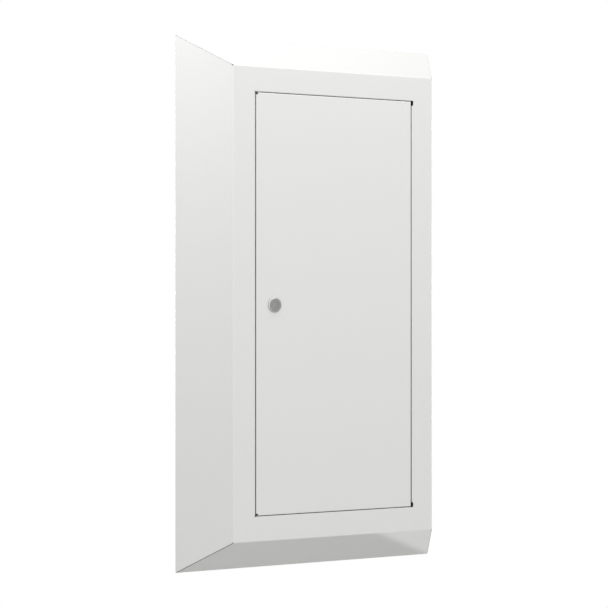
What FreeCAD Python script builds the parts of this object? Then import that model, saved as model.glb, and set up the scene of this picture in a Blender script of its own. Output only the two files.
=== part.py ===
import FreeCAD
import Part
import Sketcher
import math
import os

# Wall-hung locker cabinet in folded sheet steel: a casing with four sloping sides, a flush door on pivot
# pins, a turn lock, a back plate and three shelves on slotted uprights.
# Millimetres. The wall is the plane Y = 0, the cabinet stands out of it along -Y, and Z is up. The origin is
# the middle of the back plate, which is the middle of the wall fixings. A depth, in the names and formulas
# below, is a distance from the wall.

SIZES = [
    # casing, folded from one sheet
    ("front_width", 500.0),
    ("front_height", 1000.0),
    ("cabinet_depth", 130.0),
    ("slope_angle", 30.0),
    ("casing_sheet", 1.5),
    ("front_bend_radius", 3.0),
    ("rear_bend_radius", 3.5),
    ("wall_flange_width", 20.0),
    ("seam_width", 1.2),
    ("corner_relief_diameter", 3.0),
    # opening in the face
    ("face_border", 52.6),
    ("opening_return_depth", 23.0),
    ("opening_bend_radius", 1.9),
    ("stop_lip_width", 12.0),
    ("stop_lip_end_gap", 3.0),
    ("opening_relief", 2.6),
    ("hinge_relief_reach", 3.6),
    ("hinge_relief_height", 11.0),
    ("hinge_relief_rise", 0.3),
    # back plate
    ("back_sheet", 1.5),
    ("back_reveal", 0.5),
    ("wall_hole_diameter", 9.0),
    ("wall_hole_spacing_x", 300.0),
    ("wall_hole_spacing_z", 800.0),
    # door, a folded pan
    ("door_sheet", 1.5),
    ("door_gap", 1.6),
    ("door_side_gap", 2.4),
    ("door_thickness", 18.0),
    ("door_lip_width", 12.0),
    ("door_bend_radius", 1.9),
    ("door_slit_width", 1.0),
    ("door_corner_notch", 4.5),
    ("stiffener_width", 50.0),
    ("stiffener_height", 12.0),
    ("stiffener_foot", 14.0),
    ("stiffener_sheet", 1.0),
    ("stiffener_end_margin", 60.0),
    # pivots
    ("pivot_inset", 18.0),
    ("pivot_setback", 7.5),
    ("pivot_pin_diameter", 6.0),
    ("pivot_pin_reach", 9.0),
    ("pivot_head_diameter", 10.0),
    ("pivot_head_height", 3.0),
    ("pivot_clearance", 0.05),
    ("bush_wall", 1.45),
    ("bush_flange_diameter", 11.0),
    ("bush_flange_height", 0.8),
    ("bush_sleeve_length", 6.0),
    ("pivot_plate_length", 36.0),
    ("pivot_plate_width", 12.0),
    ("pivot_plate_height", 3.0),
    ("pivot_plate_offset", 1.0),
    # lock
    ("lock_backset", 44.0),
    ("lock_drop", 2.0),
    ("lock_head_diameter", 32.0),
    ("lock_face_diameter", 26.8),
    ("lock_head_height", 2.9),
    ("lock_rim_height", 0.9),
    ("lock_gasket_height", 0.7),
    ("lock_barrel_diameter", 22.0),
    ("lock_barrel_length", 20.5),
    ("lock_hole_clearance", 0.2),
    ("lock_nut_flats", 27.0),
    ("lock_nut_height", 5.0),
    ("lock_plug_diameter", 15.0),
    ("lock_plug_recess", 0.4),
    ("lock_plug_clearance", 0.08),
    ("lock_collar_diameter", 18.0),
    ("key_slot_length", 9.0),
    ("key_slot_width", 1.8),
    ("key_slot_depth", 10.0),
    ("cam_gap", 0.8),
    ("cam_sheet", 2.5),
    ("cam_width", 17.0),
    ("cam_reach", 44.0),
    ("cam_square", 8.0),
    ("cam_screw_diameter", 5.0),
    ("cam_screw_length", 10.0),
    ("cam_screw_head_diameter", 9.0),
    ("cam_screw_head_height", 3.0),
    ("cam_screw_socket", 4.0),
    ("cam_washer_diameter", 13.0),
    ("cam_washer_height", 1.0),
    # bumpers on the stop lip
    ("bumper_diameter", 9.0),
    ("bumper_clearance", 0.4),
    ("bumper_end_margin", 60.0),
    # studs pressed in the back plate, and their nuts
    ("stud_diameter", 5.0),
    ("stud_head_diameter", 8.0),
    ("stud_head_height", 1.0),
    ("stud_spare_length", 2.0),
    ("stud_clearance", 0.1),
    ("nut_flats", 8.0),
    ("nut_height", 4.0),
    ("nut_flange_diameter", 11.8),
    ("nut_flange_height", 1.0),
    ("side_stud_spacing", 280.0),
    ("end_stud_spacing", 360.0),
    # cleats behind the corner seams
    ("cleat_leg", 16.0),
    ("cleat_sheet", 1.5),
    ("cleat_end_gap", 6.0),
    # slotted uprights
    ("upright_spacing", 380.0),
    ("upright_width", 25.0),
    ("upright_depth", 12.0),
    ("upright_sheet", 1.5),
    ("upright_bend_radius", 2.0),
    ("upright_end_margin", 25.0),
    ("slot_pitch", 25.0),
    ("slot_height", 13.0),
    ("slot_width", 4.0),
    # shelves and their brackets
    ("shelf_side_overhang", 50.0),
    ("shelf_sheet", 1.2),
    ("shelf_edge_height", 20.0),
    ("shelf_hem_width", 8.0),
    ("shelf_bend_radius", 1.6),
    ("shelf_rear_gap", 4.0),
    ("shelf_front_gap", 4.0),
    ("bracket_sheet", 2.5),
    ("bracket_height", 60.0),
    ("bracket_nose_height", 14.0),
    ("bracket_foot_width", 10.0),
    ("bracket_front_gap", 8.0),
    ("bracket_hook_top", 10.0),
    ("bracket_hook_neck", 6.0),
    ("bracket_hook_drop", 5.0),
    ("bracket_hook_width", 1.8),
    ("bracket_hook_clearance", 0.3),
]

# places worked out from the sizes
PLACES = [
    ("front_half_width", "Sizes.front_width / 2"),
    ("front_half_height", "Sizes.front_height / 2"),
    ("slope", "tan(Sizes.slope_angle)"),
    ("sheet_across_slope", "Sizes.casing_sheet / cos(Sizes.slope_angle)"),
    ("rear_run", "(Sizes.cabinet_depth - Sizes.back_sheet) * Places.slope"),
    ("rear_half_width", "Places.front_half_width + Places.rear_run"),
    ("rear_half_height", "Places.front_half_height + Places.rear_run"),
    ("rear_bend_run", "Sizes.rear_bend_radius * tan(45 + Sizes.slope_angle / 2)"),
    ("flange_depth", "Sizes.back_sheet + Sizes.casing_sheet"),
    ("flange_run",
     "(Sizes.cabinet_depth - Places.flange_depth) * Places.slope - Places.sheet_across_slope"),
    ("flange_inner_half_width", "Places.rear_half_width - Sizes.wall_flange_width"),
    ("flange_inner_half_height", "Places.rear_half_height - Sizes.wall_flange_width"),
    ("face_inner_depth", "Sizes.cabinet_depth - Sizes.casing_sheet"),
    ("face_inner_run", "Sizes.casing_sheet * Places.slope - Places.sheet_across_slope"),
    ("opening_half_width", "Places.front_half_width - Sizes.face_border"),
    ("opening_half_height", "Places.front_half_height - Sizes.face_border"),
    ("lip_depth", "Sizes.cabinet_depth - Sizes.opening_return_depth"),
    ("lip_inner_half_width", "Places.opening_half_width - Sizes.stop_lip_width"),
    ("lip_inner_half_height", "Places.opening_half_height - Sizes.stop_lip_width"),
    ("back_half_width", "Places.rear_half_width - Places.rear_bend_run - Sizes.back_reveal"),
    ("back_half_height", "Places.rear_half_height - Places.rear_bend_run - Sizes.back_reveal"),
    ("door_half_width", "Places.opening_half_width - Sizes.door_side_gap"),
    ("door_half_height", "Places.opening_half_height - Sizes.door_gap"),
    ("door_rear_depth", "Sizes.cabinet_depth - Sizes.door_thickness"),
    ("door_inner_depth", "Sizes.cabinet_depth - Sizes.door_sheet"),
    ("pivot_x", "Places.door_half_width - Sizes.pivot_inset"),
    ("pivot_y", "Sizes.pivot_setback - Sizes.cabinet_depth"),
    ("pivot_tail", "Sizes.door_thickness - Sizes.pivot_setback"),
    ("pivot_sweep",
     "sqrt(Sizes.pivot_inset * Sizes.pivot_inset + Places.pivot_tail * Places.pivot_tail)"),
    ("lip_end_x", "Places.pivot_x - Places.pivot_sweep - Sizes.stop_lip_end_gap"),
    ("bush_bore_radius", "Sizes.pivot_pin_diameter / 2 + Sizes.pivot_clearance"),
    ("bush_radius", "Places.bush_bore_radius + Sizes.bush_wall"),
    ("pivot_washer_height", "Sizes.door_gap - Sizes.bush_flange_height"),
    ("pivot_plate_z", "Places.opening_half_height + Sizes.casing_sheet"),
    ("lock_x", "Sizes.lock_backset - Places.door_half_width"),
    ("lock_z", "-Sizes.lock_drop"),
    ("lock_seat_depth", "Sizes.cabinet_depth + Sizes.lock_gasket_height"),
    ("lock_front_depth", "Places.lock_seat_depth + Sizes.lock_head_height"),
    ("lock_rear_depth", "Places.lock_seat_depth - Sizes.lock_barrel_length"),
    ("lock_bore_radius", "Sizes.lock_plug_diameter / 2 + Sizes.lock_plug_clearance"),
    ("cam_front_depth", "Places.lip_depth - Sizes.cam_gap"),
    ("cam_rear_depth", "Places.cam_front_depth - Sizes.cam_sheet"),
    ("bumper_depth", "Places.lip_depth + Sizes.casing_sheet"),
    ("bumper_height", "Places.door_rear_depth - Places.bumper_depth - Sizes.bumper_clearance"),
    ("side_stud_x",
     "(Places.flange_inner_half_width + Places.front_half_width + Places.flange_run) / 2 - 1"),
    ("end_stud_z",
     "(Places.flange_inner_half_height + Places.front_half_height + Places.flange_run) / 2 - 1"),
    ("upright_x", "Sizes.upright_spacing / 2"),
    ("upright_front_depth", "Sizes.back_sheet + Sizes.upright_depth"),
    ("upright_web_depth", "Places.upright_front_depth - Sizes.upright_sheet"),
    ("upright_room", "Places.opening_half_height - Sizes.upright_end_margin - Sizes.slot_pitch / 2"),
    ("slots_each_way", "floor(Places.upright_room / Sizes.slot_pitch)"),
    ("upright_half_height", "(Places.slots_each_way + 0.5) * Sizes.slot_pitch"),
    ("upright_stud_rise", "(Places.slots_each_way - 1.5) * Sizes.slot_pitch"),
    ("shelf_step", "floor(Places.slots_each_way / 2 + 1)"),
    ("shelf_half_width", "Places.upright_x + Sizes.shelf_side_overhang"),
    ("shelf_rear_depth", "Places.upright_front_depth + Sizes.shelf_rear_gap"),
    ("shelf_front_depth",
     "Sizes.cabinet_depth - Sizes.pivot_setback - Places.pivot_sweep - Sizes.shelf_front_gap"),
    ("bracket_front_depth",
     "Places.shelf_front_depth - Sizes.shelf_hem_width - Sizes.bracket_front_gap"),
]

doc = FreeCAD.newDocument("LockerCabinet")
PARTS = []


# ---------------------------------------------------------------- drawing


def make_sizes():
    """The driving dimensions, one plain number a cell."""
    sheet = doc.addObject("Spreadsheet::Sheet", "Sizes")
    for row, (alias, number) in enumerate(SIZES, start=1):
        sheet.set(f"A{row}", alias)
        sheet.set(f"B{row}", str(number))
        sheet.setAlias(f"B{row}", alias)
    doc.recompute()
    return sheet


def make_places():
    """The places that follow from the driving dimensions."""
    places = doc.addObject("App::VarSet", "Places")
    for name, formula in PLACES:
        places.addProperty("App::PropertyFloat", name)
        places.setExpression(name, formula)
        doc.recompute()
    return places


sizes = make_sizes()
make_places()


def value(formula):
    """A formula's number."""
    return float(sizes.evalExpression(formula))


def keep(thing, label):
    """Marks a finished object as the sub-part of that name."""
    thing.Label = label
    PARTS.append(thing)
    return thing


def place(thing, x="0", y="0", z="0", turn=None):
    """Puts an object at three formulas, turned by an axis and an angle."""
    if turn:
        rotation = FreeCAD.Rotation(FreeCAD.Vector(*turn[0]), turn[1])
        thing.Placement = FreeCAD.Placement(FreeCAD.Vector(0, 0, 0), rotation)
    for axis, formula in (("x", x), ("y", y), ("z", z)):
        if formula != "0":
            thing.setExpression(f"Placement.Base.{axis}", formula)
    return thing


def sketch_on(body, name, role, offset=None):
    """An empty sketch parallel to an origin plane. On XZ_Plane the offset is a depth."""
    sketch = body.newObject("Sketcher::SketchObject", name)
    plane = next(feature for feature in body.Origin.OriginFeatures if feature.Role == role)
    sketch.AttachmentSupport = [(plane, "")]
    sketch.MapMode = "FlatFace"
    sketch.Visibility = False
    if offset:
        sketch.setExpression("AttachmentOffset.Base.z", offset)
    return sketch


def hold(sketch, kind, geometry, end, formula):
    """Holds a point of a sketch at a formula's distance from the sketch's origin."""
    number = value(formula)
    if abs(number) < 1e-9:
        support = -2 if kind == "DistanceX" else -1
        sketch.addConstraint(Sketcher.Constraint("PointOnObject", geometry, end, support))
        return
    at = sketch.addConstraint(Sketcher.Constraint(kind, -1, 1, geometry, end, number))
    sketch.setExpression(f"Constraints[{at}]", formula)


def bend_points(before, corner, after, radius):
    """Where a bend of that radius leaves the two lines at a corner, and the bend's centre."""
    back = (before - corner).normalize()
    ahead = (after - corner).normalize()
    half = back.getAngle(ahead) / 2
    run = radius / math.tan(half)
    middle = corner + (back + ahead).normalize() * (radius / math.sin(half))
    return corner + back * run, corner + ahead * run, middle


def draw_loop(sketch, corners):
    """A closed outline. Each corner is an x formula, a y formula and, where it is bent, a radius formula."""
    points = [FreeCAD.Vector(value(corner[0]), value(corner[1]), 0) for corner in corners]
    radii = [corner[2] if len(corner) > 2 else None for corner in corners]
    count = len(corners)
    bends = []
    for i in range(count):
        if radii[i]:
            bends.append(bend_points(points[i - 1], points[i], points[(i + 1) % count], value(radii[i])))
        else:
            bends.append((points[i], points[i], None))
    lines = []
    for i in range(count):
        lines.append(sketch.addGeometry(Part.LineSegment(bends[i][1], bends[(i + 1) % count][0]), False))
    for i in range(count):
        if radii[i]:
            draw_bend(sketch, lines[i - 1], lines[i], points[i], bends[i], corners[i])
        else:
            sketch.addConstraint(Sketcher.Constraint("Coincident", lines[i - 1], 2, lines[i], 1))
            hold(sketch, "DistanceX", lines[i], 1, corners[i][0])
            hold(sketch, "DistanceY", lines[i], 1, corners[i][1])


def draw_bend(sketch, line_in, line_out, point, bend, corner):
    """The arc of one bend, with the sharp corner kept as a construction point."""
    start, end, middle = bend
    first = math.atan2(start.y - middle.y, start.x - middle.x)
    last = math.atan2(end.y - middle.y, end.x - middle.x)
    forward = (start - middle).cross(end - middle).z > 0
    if not forward:
        first, last = last, first
    circle = Part.Circle(middle, FreeCAD.Vector(0, 0, 1), value(corner[2]))
    arc = sketch.addGeometry(Part.ArcOfCircle(circle, first, last), False)
    sharp = sketch.addGeometry(Part.Point(point), True)
    sketch.addConstraint(Sketcher.Constraint("Tangent", line_in, 2, arc, 1 if forward else 2))
    sketch.addConstraint(Sketcher.Constraint("Tangent", arc, 2 if forward else 1, line_out, 1))
    sketch.addConstraint(Sketcher.Constraint("PointOnObject", sharp, 1, line_in))
    sketch.addConstraint(Sketcher.Constraint("PointOnObject", sharp, 1, line_out))
    hold(sketch, "DistanceX", sharp, 1, corner[0])
    hold(sketch, "DistanceY", sharp, 1, corner[1])
    at = sketch.addConstraint(Sketcher.Constraint("Radius", arc, value(corner[2])))
    sketch.setExpression(f"Constraints[{at}]", corner[2])


def outline(body, name, role, offset, *loops):
    """A sketch of closed outlines."""
    sketch = sketch_on(body, name, role, offset)
    for loop in loops:
        draw_loop(sketch, loop)
    doc.recompute()
    return sketch


def circles(body, name, role, offset, diameter, centres):
    """A sketch of equal circles."""
    sketch = sketch_on(body, name, role, offset)
    for x, y in centres:
        middle = FreeCAD.Vector(value(x), value(y), 0)
        shape = Part.Circle(middle, FreeCAD.Vector(0, 0, 1), value(diameter) / 2)
        circle = sketch.addGeometry(shape, False)
        hold(sketch, "DistanceX", circle, 3, x)
        hold(sketch, "DistanceY", circle, 3, y)
        at = sketch.addConstraint(Sketcher.Constraint("Diameter", circle, value(diameter)))
        sketch.setExpression(f"Constraints[{at}]", diameter)
    doc.recompute()
    return sketch


def rectangle(half_x, half_y):
    """Corners of a rectangle about the middle."""
    return box_corners(f"-({half_x})", half_x, f"-({half_y})", half_y)


def box_corners(x0, x1, y0, y1):
    """Corners of a rectangle between two lines each way."""
    return [(x0, y0), (x1, y0), (x1, y1), (x0, y1)]


def pad(body, name, sketch, length, reverse=False, both_ways=False):
    """Adds a sketch's outline. Reversed on XZ_Plane it goes towards the wall."""
    made = body.newObject("PartDesign::Pad", name)
    made.Profile = sketch
    made.setExpression("Length", length)
    made.Reversed = reverse
    made.Midplane = both_ways
    doc.recompute()
    return made


def pocket(body, name, sketch, length, reverse=False, both_ways=False):
    """Cuts a sketch's outline. On XZ_Plane it goes towards the wall unless it is reversed."""
    before = body.Shape.Volume
    made = body.newObject("PartDesign::Pocket", name)
    made.Profile = sketch
    made.setExpression("Length", length)
    made.Reversed = reverse
    made.Midplane = both_ways
    doc.recompute()
    if body.Shape.Volume > before - 1e-4:
        raise ValueError(f"{name} cuts nothing")
    return made


def sweep(body, name, profile, half_x, half_y, offset):
    """Sweeps a folded section round a rectangle, with mitred corners."""
    path = sketch_on(body, name + "_path", "XZ_Plane", offset)
    corners = [
        (half_x, "0"),
        (half_x, half_y),
        (f"-({half_x})", half_y),
        (f"-({half_x})", f"-({half_y})"),
        (half_x, f"-({half_y})"),
    ]
    draw_loop(path, corners)
    doc.recompute()
    made = body.newObject("PartDesign::AdditivePipe", name)
    made.Profile = profile
    made.Spine = (path, [])
    made.Transition = "Right corner"
    doc.recompute()
    return made


def turned(name, corners):
    """A body turned about its own Z axis. Each corner is a radius, a height and, if rounded, by how much."""
    body = doc.addObject("PartDesign::Body", name + "_body")
    section = outline(body, name + "_section", "XZ_Plane", None, corners)
    made = body.newObject("PartDesign::Revolution", name + "_turn")
    made.Profile = section
    made.ReferenceAxis = (section, ["V_Axis"])
    made.Angle = 360
    doc.recompute()
    return body


def standing(name, diameter, height, x, depth, z):
    """A cylinder whose foot is at that depth and which stands out from the wall."""
    cylinder = doc.addObject("Part::Cylinder", name)
    cylinder.setExpression("Radius", f"({diameter}) / 2")
    cylinder.setExpression("Height", height)
    return place(cylinder, x, f"-({depth})", z, turn=((1, 0, 0), 90))


def joined(kind, name, shapes):
    """A Part::MultiFuse or Part::Compound of shapes."""
    made = doc.addObject(f"Part::{kind}", name)
    if kind == "MultiFuse":
        made.Shapes = shapes
    else:
        made.Links = shapes
    doc.recompute()
    return made


def cut(name, base, tool):
    """One shape less another."""
    made = doc.addObject("Part::Cut", name)
    made.Base = base
    made.Tool = tool
    doc.recompute()
    return made


# ---------------------------------------------------------------- casing


def casing_stud_places():
    """Where the studs that hold the casing stand."""
    sides = [(f"{i}Places.side_stud_x", f"{k} * Sizes.side_stud_spacing / 2")
             for i in ("-", "") for k in (-3, -1, 1, 3)]
    ends = [(f"{i} * Sizes.end_stud_spacing / 2", f"{k}Places.end_stud_z")
            for i in (-1, 1) for k in ("-", "")]
    return sides + ends


def upright_stud_places():
    """Where the studs that hold the uprights stand."""
    heights = ("-Places.upright_stud_rise", "Sizes.slot_pitch / 2", "Places.upright_stud_rise")
    return [(f"{i}Places.upright_x", z) for i in ("-", "") for z in heights]


def make_casing():
    """Face, four slopes, wall flange and opening returns, folded from one sheet and mitred at corners."""
    body = doc.addObject("PartDesign::Body", "casing_body")
    section = outline(body, "casing_section", "XY_Plane", None, [
        ("Places.opening_half_width", "-Places.lip_depth"),
        ("Places.opening_half_width", "-Sizes.cabinet_depth", "Sizes.opening_bend_radius"),
        ("Places.front_half_width", "-Sizes.cabinet_depth", "Sizes.front_bend_radius"),
        ("Places.rear_half_width", "-Sizes.back_sheet", "Sizes.rear_bend_radius"),
        ("Places.flange_inner_half_width", "-Sizes.back_sheet"),
        ("Places.flange_inner_half_width", "-Places.flange_depth"),
        ("Places.front_half_width + Places.flange_run", "-Places.flange_depth",
         "Sizes.rear_bend_radius - Sizes.casing_sheet"),
        ("Places.front_half_width + Places.face_inner_run", "-Places.face_inner_depth",
         "Sizes.front_bend_radius - Sizes.casing_sheet"),
        ("Places.opening_half_width + Sizes.casing_sheet", "-Places.face_inner_depth",
         "Sizes.opening_bend_radius - Sizes.casing_sheet"),
        ("Places.opening_half_width + Sizes.casing_sheet", "-Places.lip_depth"),
    ])
    sweep(body, "folded_sheet", section, "Places.front_half_width", "Places.front_half_height",
          "Sizes.cabinet_depth")

    left = "-(Places.opening_half_width + Sizes.casing_sheet / 2)"
    top = "(Places.opening_half_height + Sizes.casing_sheet / 2)"
    lips = outline(body, "stop_lips_outline", "XZ_Plane", "Places.lip_depth", [
        (left, f"-{top}"),
        ("Places.lip_end_x", f"-{top}"),
        ("Places.lip_end_x", "-Places.lip_inner_half_height"),
        ("-Places.lip_inner_half_width", "-Places.lip_inner_half_height"),
        ("-Places.lip_inner_half_width", "Places.lip_inner_half_height"),
        ("Places.lip_end_x", "Places.lip_inner_half_height"),
        ("Places.lip_end_x", top),
        (left, top),
    ])
    pad(body, "stop_lips", lips, "Sizes.casing_sheet")

    cut_opening_reliefs(body)

    corners = [(f"{i}Places.front_half_width", f"{k}Places.front_half_height")
               for i in ("-", "") for k in ("-", "")]
    relief = circles(body, "corner_reliefs_outline", "XZ_Plane", "Sizes.cabinet_depth",
                     "Sizes.corner_relief_diameter", corners)
    pocket(body, "corner_reliefs", relief, "3 * Sizes.casing_sheet")

    pivots = circles(body, "pivot_holes_outline", "XY_Plane", None, "2 * Places.bush_bore_radius",
                     [("Places.pivot_x", "Places.pivot_y")])
    pocket(body, "pivot_holes", pivots, "2 * Places.pivot_plate_z + Sizes.casing_sheet", both_ways=True)

    holes = circles(body, "flange_holes_outline", "XZ_Plane", "Places.flange_depth",
                    "Sizes.stud_diameter + 2 * Sizes.stud_clearance", casing_stud_places())
    pocket(body, "flange_holes", holes, "Sizes.casing_sheet")

    cut_seams(body)
    keep(body, "casing")


def cut_opening_reliefs(body):
    """Notches at the corners of the opening, larger on the hinge side, where the folds run out."""
    out = "Sizes.opening_relief / 2"
    notches = []
    for side, reach, rise, height in (
            ("-", out, out, "Sizes.opening_relief"),
            ("", "Sizes.hinge_relief_reach", "Sizes.hinge_relief_rise", "Sizes.hinge_relief_height")):
        for end in ("-", ""):
            notches.append(box_corners(
                f"{side}(Places.opening_half_width + {reach})",
                f"{side}(Places.opening_half_width - {out})",
                f"{end}(Places.opening_half_height + {rise})",
                f"{end}(Places.opening_half_height + {rise} - {height})",
            ))
    sketch = outline(body, "opening_reliefs_outline", "XZ_Plane", "Sizes.cabinet_depth", *notches)
    pocket(body, "opening_reliefs", sketch, "Sizes.opening_return_depth - 2 * Sizes.casing_sheet")


def cut_seams(body):
    """The mitre seam down each sloping corner, from the front corner through the wall flange."""
    run = "Places.rear_run * sqrt(2)"
    inside = "3 * Places.sheet_across_slope"
    flange_end = f"{run} - (Sizes.wall_flange_width + 2) * sqrt(2)"
    face = "-Places.face_inner_depth"
    front = "Sizes.corner_relief_diameter / 4 / Places.slope - Sizes.cabinet_depth"
    flange = "-Places.flange_depth - Sizes.casing_sheet / 2"
    rear = "-Sizes.back_sheet / 2"
    for side, end, turn in (("", "", -45), ("-", "", -135), ("-", "-", 135), ("", "-", 45)):
        name = f"seam_{'left' if side else 'right'}_{'lower' if end else 'upper'}"
        sketch = sketch_on(body, name + "_outline", "XY_Plane")
        rotation = FreeCAD.Rotation(FreeCAD.Vector(0, 1, 0), turn)
        sketch.AttachmentOffset = FreeCAD.Placement(FreeCAD.Vector(0, 0, 0), rotation)
        sketch.setExpression("AttachmentOffset.Base.x", f"{side}Places.front_half_width")
        sketch.setExpression("AttachmentOffset.Base.z", f"{end}Places.front_half_height")
        draw_loop(sketch, [
            (inside, front),
            (f"{run} + {inside}", rear),
            (flange_end, rear),
            (flange_end, flange),
            (f"{run} - {inside} - 2 * Sizes.rear_bend_radius", flange),
            (f"-({inside})", face),
            ("0", face),
            ("0", front),
        ])
        doc.recompute()
        pocket(body, name, sketch, "Sizes.seam_width", both_ways=True)


def make_back_plate():
    """Flat plate on the wall, with four holes for the wall fixings and a hole for every stud."""
    body = doc.addObject("PartDesign::Body", "back_plate_body")
    plate = outline(body, "back_outline", "XZ_Plane", None,
                    rectangle("Places.back_half_width", "Places.back_half_height"))
    pad(body, "back_sheet_pad", plate, "Sizes.back_sheet")
    corners = [(f"{i}Sizes.wall_hole_spacing_x / 2", f"{k}Sizes.wall_hole_spacing_z / 2")
               for i in ("-", "") for k in ("-", "")]
    wall = circles(body, "wall_holes_outline", "XZ_Plane", "Sizes.back_sheet",
                   "Sizes.wall_hole_diameter", corners)
    pocket(body, "wall_holes", wall, "Sizes.back_sheet")
    studs = casing_stud_places() + upright_stud_places()
    shanks = circles(body, "stud_holes_outline", "XZ_Plane", "Sizes.back_sheet",
                     "Sizes.stud_diameter + 2 * Sizes.stud_clearance", studs)
    pocket(body, "stud_holes", shanks, "Sizes.back_sheet")
    heads = circles(body, "stud_seats_outline", "XZ_Plane", "Sizes.stud_head_height",
                    "Sizes.stud_head_diameter + 2 * Sizes.stud_clearance", studs)
    pocket(body, "stud_seats", heads, "Sizes.stud_head_height")
    keep(body, "back_plate")


def make_cleats():
    """Angle strips on the inner side of the slopes, which join them behind each seam."""
    leg = "Sizes.cleat_leg"
    thick = "Sizes.cleat_sheet / cos(Sizes.slope_angle)"
    near = "Places.flange_depth + Sizes.rear_bend_radius + Sizes.cleat_end_gap"
    far = "Places.face_inner_depth - Sizes.cleat_end_gap"
    for side, end, name in (("-", "", "upper_left"), ("", "", "upper_right"), ("-", "-", "lower_left"),
                            ("", "-", "lower_right")):
        body = doc.addObject("PartDesign::Body", f"corner_cleat_{name}_body")
        sections = []
        for tag, depth in (("near", near), ("far", far)):
            run = f"(Sizes.cabinet_depth - ({depth})) * Places.slope - Places.sheet_across_slope"
            x = f"(Places.front_half_width + {run})"
            z = f"(Places.front_half_height + {run})"
            sections.append(outline(body, f"cleat_{tag}_{name}", "XZ_Plane", depth, [
                (f"{side}{x}", f"{end}{z}"),
                (f"{side}({x} - {leg})", f"{end}{z}"),
                (f"{side}({x} - {leg})", f"{end}({z} - {thick})"),
                (f"{side}({x} - {thick})", f"{end}({z} - {thick})"),
                (f"{side}({x} - {thick})", f"{end}({z} - {leg})"),
                (f"{side}{x}", f"{end}({z} - {leg})"),
            ]))
        strip = body.newObject("PartDesign::AdditiveLoft", f"cleat_{name}")
        strip.Profile = sections[0]
        strip.Sections = [sections[1]]
        strip.Ruled = True
        doc.recompute()
        keep(body, f"corner_cleat_{name}")


def make_studs(label, places, reach):
    """Studs pressed into the back plate from behind, with flush heads."""
    studs = []
    for i, (x, z) in enumerate(places, start=1):
        head = standing(f"{label}_head_{i}", "Sizes.stud_head_diameter", "Sizes.stud_head_height",
                        x, "0", z)
        shank = standing(f"{label}_shank_{i}", "Sizes.stud_diameter", reach, x, "0", z)
        studs.append(joined("MultiFuse", f"{label}_{i}", [head, shank]))
    keep(joined("Compound", f"{label}_all", studs), label)


def make_nuts(label, places, seat):
    """Hexagon nuts with a round flange, on the studs."""
    nuts = []
    for i, (x, z) in enumerate(places, start=1):
        hexagon = doc.addObject("Part::Prism", f"{label}_hexagon_{i}")
        hexagon.Polygon = 6
        hexagon.setExpression("Circumradius", "Sizes.nut_flats / 2 / cos(30)")
        hexagon.setExpression("Height", "Sizes.nut_height")
        place(hexagon, x, f"-({seat})", z, turn=((1, 0, 0), 90))
        flange = standing(f"{label}_flange_{i}", "Sizes.nut_flange_diameter", "Sizes.nut_flange_height",
                          x, seat, z)
        solid = joined("MultiFuse", f"{label}_solid_{i}", [hexagon, flange])
        bore = standing(f"{label}_bore_{i}", "Sizes.stud_diameter + 2 * Sizes.stud_clearance",
                        "Sizes.nut_height", x, seat, z)
        nuts.append(cut(f"{label}_{i}", solid, bore))
    keep(joined("Compound", f"{label}_all", nuts), label)


# ---------------------------------------------------------------- shelving


def make_upright(label, side):
    """A slotted channel, open to the wall, that carries the shelf brackets."""
    body = doc.addObject("PartDesign::Body", label + "_body")
    half = "Sizes.upright_width / 2"
    inner_bend = "Sizes.upright_bend_radius - Sizes.upright_sheet"
    section = outline(body, label + "_section", "XY_Plane", None, [
        (f"-{half}", "-Sizes.back_sheet"),
        (f"-{half}", "-Places.upright_front_depth", "Sizes.upright_bend_radius"),
        (half, "-Places.upright_front_depth", "Sizes.upright_bend_radius"),
        (half, "-Sizes.back_sheet"),
        (f"{half} - Sizes.upright_sheet", "-Sizes.back_sheet"),
        (f"{half} - Sizes.upright_sheet", "-Places.upright_web_depth", inner_bend),
        (f"Sizes.upright_sheet - {half}", "-Places.upright_web_depth", inner_bend),
        (f"Sizes.upright_sheet - {half}", "-Sizes.back_sheet"),
    ])
    pad(body, label + "_channel", section, "2 * Places.upright_half_height", both_ways=True)
    low = "-Places.slots_each_way * Sizes.slot_pitch"
    slot = outline(body, label + "_slot_outline", "XZ_Plane", "Places.upright_front_depth", box_corners(
        "-Sizes.slot_width / 2", "Sizes.slot_width / 2",
        f"{low} - Sizes.slot_height / 2", f"{low} + Sizes.slot_height / 2",
    ))
    first = pocket(body, label + "_slot", slot, "Sizes.upright_sheet")
    row = body.newObject("PartDesign::LinearPattern", label + "_slots")
    row.Originals = [first]
    row.Direction = (slot, ["V_Axis"])
    row.setExpression("Length", "2 * Places.slots_each_way * Sizes.slot_pitch")
    row.setExpression("Occurrences", "2 * Places.slots_each_way + 1")
    body.Tip = row
    doc.recompute()
    holes = circles(body, label + "_holes_outline", "XZ_Plane", "Places.upright_front_depth",
                    "Sizes.stud_diameter + 2 * Sizes.stud_clearance",
                    [("0", z) for x, z in upright_stud_places()[:3]])
    pocket(body, label + "_holes", holes, "Sizes.upright_sheet")
    place(body, f"{side}Places.upright_x")
    keep(body, label)


def shelf_underside(row):
    """Height of the underside of a shelf, which is the top of its brackets."""
    return f"(Places.shelf_step * {row} - 1) * Sizes.slot_pitch + Sizes.bracket_hook_top"


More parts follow.
